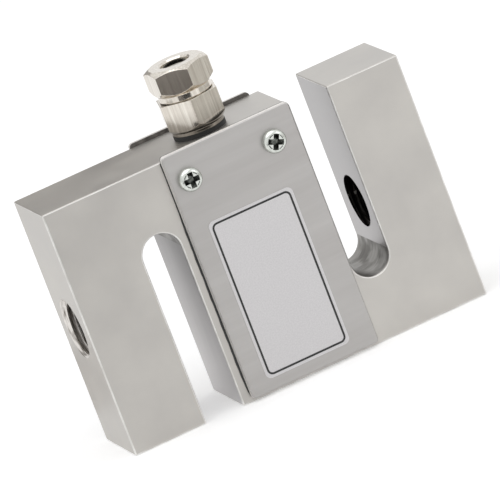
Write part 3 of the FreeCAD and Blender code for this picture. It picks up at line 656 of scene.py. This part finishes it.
screwSizes = {  # mm
    "headRadius": 2.4,
    "headHeight": 1.6,
    "sideHeight": 0.55,
    "topRadius": 1.4,
    "headEdge": 0.08,
    "domeSteps": 8,
    "shankRadius": 1.2,
    "shankPoint": 0.4,
    "length": 6.0,
    "recessSpan": 3.3,
    "recessArm": 1.1,
    "recessDepth": 1.2,
    "recessFloor": (0.4, 0.7),  # of the span and the arm
    "recessOver": 0.1,
}


def crossArm(turn):
    # one bar of the cross recess, which narrows towards its floor
    bm = bmesh.new()
    s = screwSizes
    made = bmesh.ops.create_cube(bm, size=1)["verts"]
    deep = s["recessDepth"] + s["recessOver"]
    bmesh.ops.scale(bm, vec=(s["recessSpan"] * mm, s["recessArm"] * mm, deep * mm), verts=made)
    low = [vert for vert in made if vert.co.z < 0]
    bmesh.ops.scale(bm, vec=(*s["recessFloor"], 1), verts=low)
    bmesh.ops.rotate(bm, verts=made, cent=(0, 0, 0), matrix=Matrix.Rotation(turn, 3, "Z"))
    bmesh.ops.translate(bm, vec=(0, 0, (s["headHeight"] + s["recessOver"] - deep / 2) * mm), verts=made)
    return meshFrom(bm, "crossArm")


def makeScrew(name, node, face, turn):
    s = screwSizes
    dome = [(s["headRadius"] - (s["headRadius"] - s["topRadius"]) * (1 - math.cos(a)),
             s["sideHeight"] + (s["headHeight"] - s["sideHeight"]) * math.sin(a))
            for a in (math.pi / 2 * step / s["domeSteps"] for step in range(s["domeSteps"] + 1))]
    screw = turned(name, [(0, -s["length"]), (s["shankRadius"] - s["shankPoint"], -s["length"]),
                          (s["shankRadius"], s["shankPoint"] - s["length"]), (s["shankRadius"], 0),
                          (s["headRadius"] - s["headEdge"], 0), (s["headRadius"], s["headEdge"])] + dome
                   + [(0, s["headHeight"])], rodSteps)
    cutWith(screw, [crossArm(0), crossArm(math.pi / 2)])
    low, high = (Vector(corner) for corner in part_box(node))
    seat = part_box("front_cover")[0][1] if face < 0 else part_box("back_cover")[1][1]
    place = Matrix.Translation(((low.x + high.x) / 2, seat, (low.z + high.z) / 2))
    place @= Matrix.Rotation(math.radians(90 * -face), 4, "X") @ Matrix.Rotation(turn, 4, "Z")
    screw.data.transform(place)
    paint(screw, zincPlate, recessShade)
    underTop = (s["headHeight"] - 0.01) * mm
    for side in screw.data.polygons:
        middle = side.center
        fromAxis = math.hypot(middle.x - place.translation.x, middle.z - place.translation.z)
        inHead = 0 < (middle.y - seat) * face < underTop
        side.material_index = int(inHead and fromAxis < s["recessSpan"] / 2 * mm)
    smoothByAngle(screw, 40)
    finish(screw, "screw_steel", node)


for name, node, face, turn in (
        ("frontScrewLeft", "front_screw_left", -1, 0.0), ("frontScrewRight", "front_screw_right", -1, -0.4),
        ("backScrewLeft", "back_screw_left", 1, 1.1), ("backScrewRight", "back_screw_right", 1, 0.8)):
    makeScrew(name, node, face, turn)
print("screws made")


# the label

labelSizes = {  # mm
    "corner": 1.2,
    "borderGap": 0.55,
    "borderWidth": 0.4,
    "inkThickness": 0.015,
}


def roundedSheet(bm, low, high, corner, y):
    # a flat rounded rectangle facing -Y, as one face
    size = Vector(high) - Vector(low)
    made = bmesh.ops.create_grid(bm, x_segments=1, y_segments=1, size=0.5)["verts"]
    bmesh.ops.rotate(bm, verts=made, cent=(0, 0, 0), matrix=Matrix.Rotation(math.pi / 2, 3, "X"))
    bmesh.ops.scale(bm, vec=(size.x * mm, 1, size.y * mm), verts=made)
    middle = (Vector(low) + Vector(high)) / 2
    bmesh.ops.translate(bm, vec=(middle.x * mm, y * mm, middle.y * mm), verts=made)
    bmesh.ops.bevel(bm, geom=made, offset=corner * mm, offset_type="OFFSET", segments=8,
                    affect="VERTICES", profile=0.5, material=-1)


def thicken(bm, shift):
    # gives a flat sheet its thickness along Y
    made = bmesh.ops.extrude_face_region(bm, geom=bm.faces[:])["geom"]
    top = [item for item in made if isinstance(item, bmesh.types.BMVert)]
    bmesh.ops.translate(bm, vec=(0, shift * mm, 0), verts=top)


def makeLabel():
    low, high = (Vector(corner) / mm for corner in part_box("rating_label"))
    bm = bmesh.new()
    roundedSheet(bm, (low.x, low.z), (high.x, high.z), labelSizes["corner"], high.y)
    thicken(bm, low.y - high.y)
    label = meshFrom(bm, "ratingLabel", labelFoil)
    smoothByAngle(label)
    finish(label, "label_foil", "rating_label")

    bm = bmesh.new()
    gap = labelSizes["borderGap"]
    roundedSheet(bm, (low.x + gap, low.z + gap), (high.x - gap, high.z - gap), labelSizes["corner"], low.y)
    inner = bm.faces[:]
    ring = bmesh.ops.inset_region(bm, faces=inner, thickness=labelSizes["borderWidth"] * mm,
                                  use_boundary=True, use_even_offset=True)["faces"]
    bmesh.ops.delete(bm, geom=[face for face in bm.faces if face not in ring], context="FACES")
    thicken(bm, -labelSizes["inkThickness"])
    border = meshFrom(bm, "labelBorder", labelInk)
    finish(border, "label_foil")


makeLabel()
print("label made")


# the gland

glandSizes = {  # mm, heights from the block's top face
    "hexFlats": 11.5,
    "outside": 7.0,  # past the hexagons' corners, for the cutting cones
    "washerTop": 0.9,
    "baseHeight": 0.6,
    "baseRadius": 5.25,
    "hexHeight": 6.3,
    "hexTurn": -11.0,
    "threadRadius": 4.6,
    "threadGap": 0.05,
    "threadLength": 4.8,
    "stemRadius": 3.95,
    "stemLength": 5.2,
    "boreRadius": 2.2,
    "bushRadius": 3.7,
    "bushLength": 3.5,
    "capGap": 0.15,
    "skirtRadius": 5.35,
    "skirtHeight": 1.15,
    "nutHeight": 6.6,
    "nutTopRadius": 5.2,
    "nutTurn": 3.1,
    "nutEndWall": 1.35,
    "nutHoleRadius": 2.9,
    "nutHoleBreak": 0.35,
    "chamfer": 30.0,  # degrees from level on the nut's top corners
    "ringThickness": 0.3,
    "edgeRound": 0.07,
    "overlap": 0.2,  # of the turned parts with the hexagons that they join
    "overlapTip": 0.3,
    "cutPast": 1.0,
}
glandSizes["hexFoot"] = glandSizes["washerTop"] + glandSizes["baseHeight"]
glandSizes["hexTop"] = glandSizes["hexFoot"] + glandSizes["hexHeight"]
glandSizes["nutFoot"] = glandSizes["hexTop"] + glandSizes["capGap"]
glandSizes["nutTop"] = glandSizes["nutFoot"] + glandSizes["nutHeight"]
glandFoot = (bodySizes["glandShift"], 0, blockHeight)


def hexBar(name, low, high, turn):
    # hexagon bar with one corner turned from -Y
    bm = bmesh.new()
    radius = glandSizes["hexFlats"] / math.sqrt(3) * mm
    bmesh.ops.create_cone(bm, cap_ends=True, segments=6, radius1=radius, radius2=radius,
                          depth=(high - low) * mm)
    bm.verts.ensure_lookup_table()
    corner = bm.verts[0].co
    first = -math.pi / 2 - math.atan2(corner.y, corner.x)
    bmesh.ops.rotate(bm, verts=bm.verts[:], cent=(0, 0, 0),
                     matrix=Matrix.Rotation(first + math.radians(turn), 3, "Z"))
    bmesh.ops.translate(bm, vec=(Vector(glandFoot) + Vector((0, 0, (low + high) / 2))) * mm,
                        verts=bm.verts[:])
    return meshFrom(bm, name)


def makeGlandBody():
    g = glandSizes
    bar = hexBar("glandBody", g["hexFoot"], g["hexTop"], g["hexTurn"])
    wide = g["outside"]
    envelope = turned("envelope", [(0, g["hexFoot"]), (g["baseRadius"], g["hexFoot"]),
                                   (wide, g["hexFoot"] + wide - g["baseRadius"]),
                                   (wide, g["hexTop"] + g["cutPast"]), (0, g["hexTop"] + g["cutPast"])],
                      fineSteps, at=glandFoot)
    cutWith(bar, [envelope], "INTERSECT")
    core = turned("core", [(0, -g["stemLength"]), (g["stemRadius"], -g["stemLength"]),
                           (g["stemRadius"], g["washerTop"]), (g["baseRadius"], g["washerTop"]),
                           (g["baseRadius"], g["hexFoot"] + g["overlap"]),
                           (g["threadRadius"], g["hexFoot"] + g["overlapTip"]),
                           (g["threadRadius"], g["hexTop"] + g["threadLength"]),
                           (0, g["hexTop"] + g["threadLength"])], fineSteps, at=glandFoot)
    cutWith(bar, [core], "UNION")
    seat = g["nutTop"] - g["nutEndWall"] - g["ringThickness"] - g["bushLength"]
    under = -g["stemLength"] - g["cutPast"]
    bore = turned("bore", [(0, under), (g["boreRadius"], under), (g["boreRadius"], seat),
                           (g["bushRadius"], seat), (g["bushRadius"], g["nutTop"]), (0, g["nutTop"])],
                  boreSteps, at=glandFoot)
    cutWith(bar, [bore])
    finishGland(bar, "gland_body")


def finishGland(piece, node):
    roundEdges(piece, glandSizes["edgeRound"], 2, lambda edge: edge.calc_face_angle(0) > math.radians(35))
    paint(piece, brightNickel)
    smoothByAngle(piece, 28)
    finish(piece, "nickel_brass", node)


def makeGlandNut():
    g = glandSizes
    wide = g["outside"]
    cone = g["nutFoot"] + g["skirtHeight"]
    bar = hexBar("glandNut", cone, g["nutTop"], g["nutTurn"])
    drop = (wide - g["nutTopRadius"]) * math.tan(math.radians(g["chamfer"]))
    envelope = turned("envelope", [(0, cone), (g["skirtRadius"], cone),
                                   (wide, cone + wide - g["skirtRadius"]), (wide, g["nutTop"] - drop),
                                   (g["nutTopRadius"], g["nutTop"]), (0, g["nutTop"])],
                      fineSteps, at=glandFoot)
    cutWith(bar, [envelope], "INTERSECT")
    skirt = turned("skirt", [(0, g["nutFoot"]), (g["skirtRadius"], g["nutFoot"]),
                             (g["skirtRadius"], cone), (0, cone + g["overlapTip"])],
                   fineSteps, at=glandFoot)
    cutWith(bar, [skirt], "UNION")
    thread = g["threadRadius"] + g["threadGap"]
    roof = g["nutTop"] - g["nutEndWall"]
    under = g["nutFoot"] - g["cutPast"]
    over = 0.5  # the hole's broken edge carries on past the top, at 45 degrees
    bore = turned("bore", [(0, under), (thread, under), (thread, roof), (g["nutHoleRadius"], roof),
                           (g["nutHoleRadius"], g["nutTop"] - g["nutHoleBreak"]),
                           (g["nutHoleRadius"] + g["nutHoleBreak"] + over, g["nutTop"] + over),
                           (0, g["nutTop"] + over)], boreSteps, at=glandFoot)
    cutWith(bar, [bore])
    finishGland(bar, "gland_nut")


makeGlandBody()
makeGlandNut()
print("gland made")


# CAD nodes that keep their own mesh

keptNodes = {
    "front_seal": sealant,
    # the back seal: a real sealant film, toned mid grey as painted shade where it shows on the ridge over
    # the block
    "back_seal": makeRubber("sealantFilmPaintedShade", "#4E4B48", "#77736F", 0.5, 1.5),
    "gland_washer": blackRubber,
    "gland_bush": blackRubber,
    "gland_slip_ring": makeSmallPartFinish("mouldedSlipRing", "#D0CFC8", "#DEDDD8", 0.35, 0.6),
    "terminal_board": makeSmallPartFinish("solderMaskLaminate", "#15552E", "#1E6B3B", 0.4, 1.2),
    "balance_resistor": makeSmallPartFinish("glazedChip", "#111114", "#1D1D22", 0.3, 0.4),
}
keptNodes["span_resistor"] = keptNodes["balance_resistor"]
gaugeFilm = makeSmallPartFinish("amberGaugeFilm", "#A86A1C", "#C98A33", 0.3, 0.5)
leadEnamel = makeSmallPartFinish("redLeadEnamel", "#8E1A14", "#A8251C", 0.25, 0.5)
for column in ("left", "right"):
    for level in ("lower", "upper"):
        keptNodes[f"gauge_{column}_{level}"] = gaugeFilm
        keptNodes[f"lead_{column}_{level}"] = leadEnamel
for node, material in keptNodes.items():
    paint(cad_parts[node], material)
print("kept nodes finished")


# floor, light and the camera

stageValues = {
    "floorSide": 12.0,  # metres
    "floorDrop": 0.05 * mm,  # keeps the floor off the underside
    "floorGlow": 0.33,  # lifts the floor to white for the camera, gloss and glass
    "roomLight": 0.6,  # what the white surroundings give to matt surfaces
}


def seenWhite(tree):
    # 1 for the rays that see the surroundings white: the camera's, gloss and glass
    path = addNode(tree, "LightPath")
    seen = addNode(tree, "Math", {0: path.outputs["Is Camera Ray"], 1: path.outputs["Is Glossy Ray"]},
                   operation="MAXIMUM")
    return addNode(tree, "Math", {0: seen.outputs[0], 1: path.outputs["Is Transmission Ray"]},
                   operation="MAXIMUM").outputs[0]


def makeFloor():
    # pale floor: the camera, gloss and glass see it white, apart from the object's shadow
    bm = bmesh.new()
    bmesh.ops.create_grid(bm, x_segments=1, y_segments=1, size=stageValues["floorSide"] / 2)
    bmesh.ops.translate(bm, vec=(0, 0, -stageValues["floorDrop"]), verts=bm.verts[:])
    material, tree, shader, place = newMaterial("palePaperFloor")
    fibres = addNode(tree, "TexNoise", {"Vector": place, "Scale": 60, "Detail": 2})
    tint = colourRamp(tree, fibres.outputs["Fac"], [(0.3, "#E9E9E9"), (0.7, "#EDEDED")])
    connect(tree, shader, {"Base Color": tint, "Roughness": 0.9})
    lift = addNode(tree, "Math", {0: seenWhite(tree), 1: stageValues["floorGlow"]}, operation="MULTIPLY")
    glow = addNode(tree, "Emission", {"Strength": lift.outputs[0]})
    both = addNode(tree, "AddShader", {0: shader.outputs[0], 1: glow.outputs[0]})
    tree.links.new(both.outputs[0], tree.nodes["Material Output"].inputs["Surface"])
    floor = meshFrom(bm, "paperFloor", material)


flags = (  # metres and degrees: name, middle, azimuth, width, low and high edge, shade, glow
    ("frontFlag", (-0.046, -0.184), -14, 0.123, 0.0, 0.027, "#1A1817", 0),
    ("leftFlag", (-0.125, -0.143), -41, 0.067, 0.0, 0.027, "#827D79", 0),
    ("rightFlag", (0.177, -0.094), 62, 0.14, 0.0, 0.06, "#EBE9E4", 0),
    ("backFlag", (-0.05, 0.062), 0, 0.115, 0.05, 0.1, "#CCC9C6", 0),
    ("endFlag", (-0.07, 0.03), 0, 0.08, 0.0, 0.014, "#EFEDEB", 0.28),  # in the block's shade, so it glows
)


def makeFlag(name, middle, azimuth, width, low, high, shade, glow):
    # a card beside the object that only gloss sees, since bright metal shows what it mirrors
    bm = bmesh.new()
    bmesh.ops.create_grid(bm, x_segments=1, y_segments=1, size=0.5)
    bmesh.ops.scale(bm, vec=(width, high - low, 1), verts=bm.verts[:])
    bmesh.ops.rotate(bm, verts=bm.verts[:], cent=(0, 0, 0), matrix=Matrix.Rotation(math.pi / 2, 3, "X"))
    bmesh.ops.rotate(bm, verts=bm.verts[:], cent=(0, 0, 0),
                     matrix=Matrix.Rotation(math.radians(azimuth), 3, "Z"))
    bmesh.ops.translate(bm, vec=(middle[0], middle[1], (low + high) / 2), verts=bm.verts[:])
    material = bpy.data.materials.new(name)
    material.use_nodes = True
    tree = material.node_tree
    connect(tree, tree.nodes["Principled BSDF"], {
        "Base Color": toLinear(shade), "Roughness": 0.9,
        "Emission Color": toLinear(shade), "Emission Strength": glow})
    card = meshFrom(bm, name, material)
    card.visible_camera = False
    card.visible_diffuse = False
    card.visible_shadow = False
    card.visible_transmission = False


def makeWorld():
    world = bpy.data.worlds.new("studioTent")
    world.use_nodes = True
    tree = world.node_tree
    strength = addNode(tree, "Mix", {"Factor": seenWhite(tree), "A": stageValues["roomLight"], "B": 1.0})
    background = tree.nodes["Background"]
    background.inputs["Color"].default_value = (1, 1, 1, 1)
    tree.links.new(strength.outputs[0], background.inputs["Strength"])
    scene.world = world


def softbox(name, place, aim, size, watts):
    light = bpy.data.lights.new(name, "AREA")
    light.shape = "RECTANGLE"
    light.size, light.size_y = size
    light.energy = watts
    lamp = bpy.data.objects.new(name, light)
    lamp.location = place
    lamp.rotation_euler = (Vector(aim) - Vector(place)).to_track_quat("-Z", "Y").to_euler()
    scene.collection.objects.link(lamp)


cameraSizes = {
    "place": (-0.41149, -1.70586, 0.48829),  # metres
    "azimuth": 13.551,  # degrees from +Y towards +X that it looks
    "elevation": 14.787,
    "roll": -21.123,
    "lens": 680.3,  # mm
    "sensor": 36,
    "clipEnd": 50,
}


def makeCamera():
    azimuth = math.radians(cameraSizes["azimuth"])
    elevation = math.radians(cameraSizes["elevation"])
    ahead = Vector((math.sin(azimuth) * math.cos(elevation), math.cos(azimuth) * math.cos(elevation),
                    -math.sin(elevation)))
    camera = bpy.data.cameras.new("camera")
    camera.lens = cameraSizes["lens"]
    camera.sensor_width = cameraSizes["sensor"]
    camera.clip_end = cameraSizes["clipEnd"]
    viewer = bpy.data.objects.new("camera", camera)
    turn = ahead.to_track_quat("-Z", "Y").to_matrix().to_4x4()
    roll = Matrix.Rotation(math.radians(cameraSizes["roll"]), 4, "Z")
    viewer.matrix_world = Matrix.Translation(cameraSizes["place"]) @ turn @ roll
    scene.collection.objects.link(viewer)
    scene.camera = viewer


makeFloor()
for card in flags:
    makeFlag(*card)
makeWorld()
softbox("overheadLight", (-0.2, -0.3, 1.3), (0, 0, 0.03), (1.4, 1.4), 7.5)
softbox("sideLight", (0.9, -0.8, 0.6), (0, 0, 0.03), (0.5, 0.5), 1)
makeCamera()
scene.view_settings.view_transform = "Standard"
print("stage made")
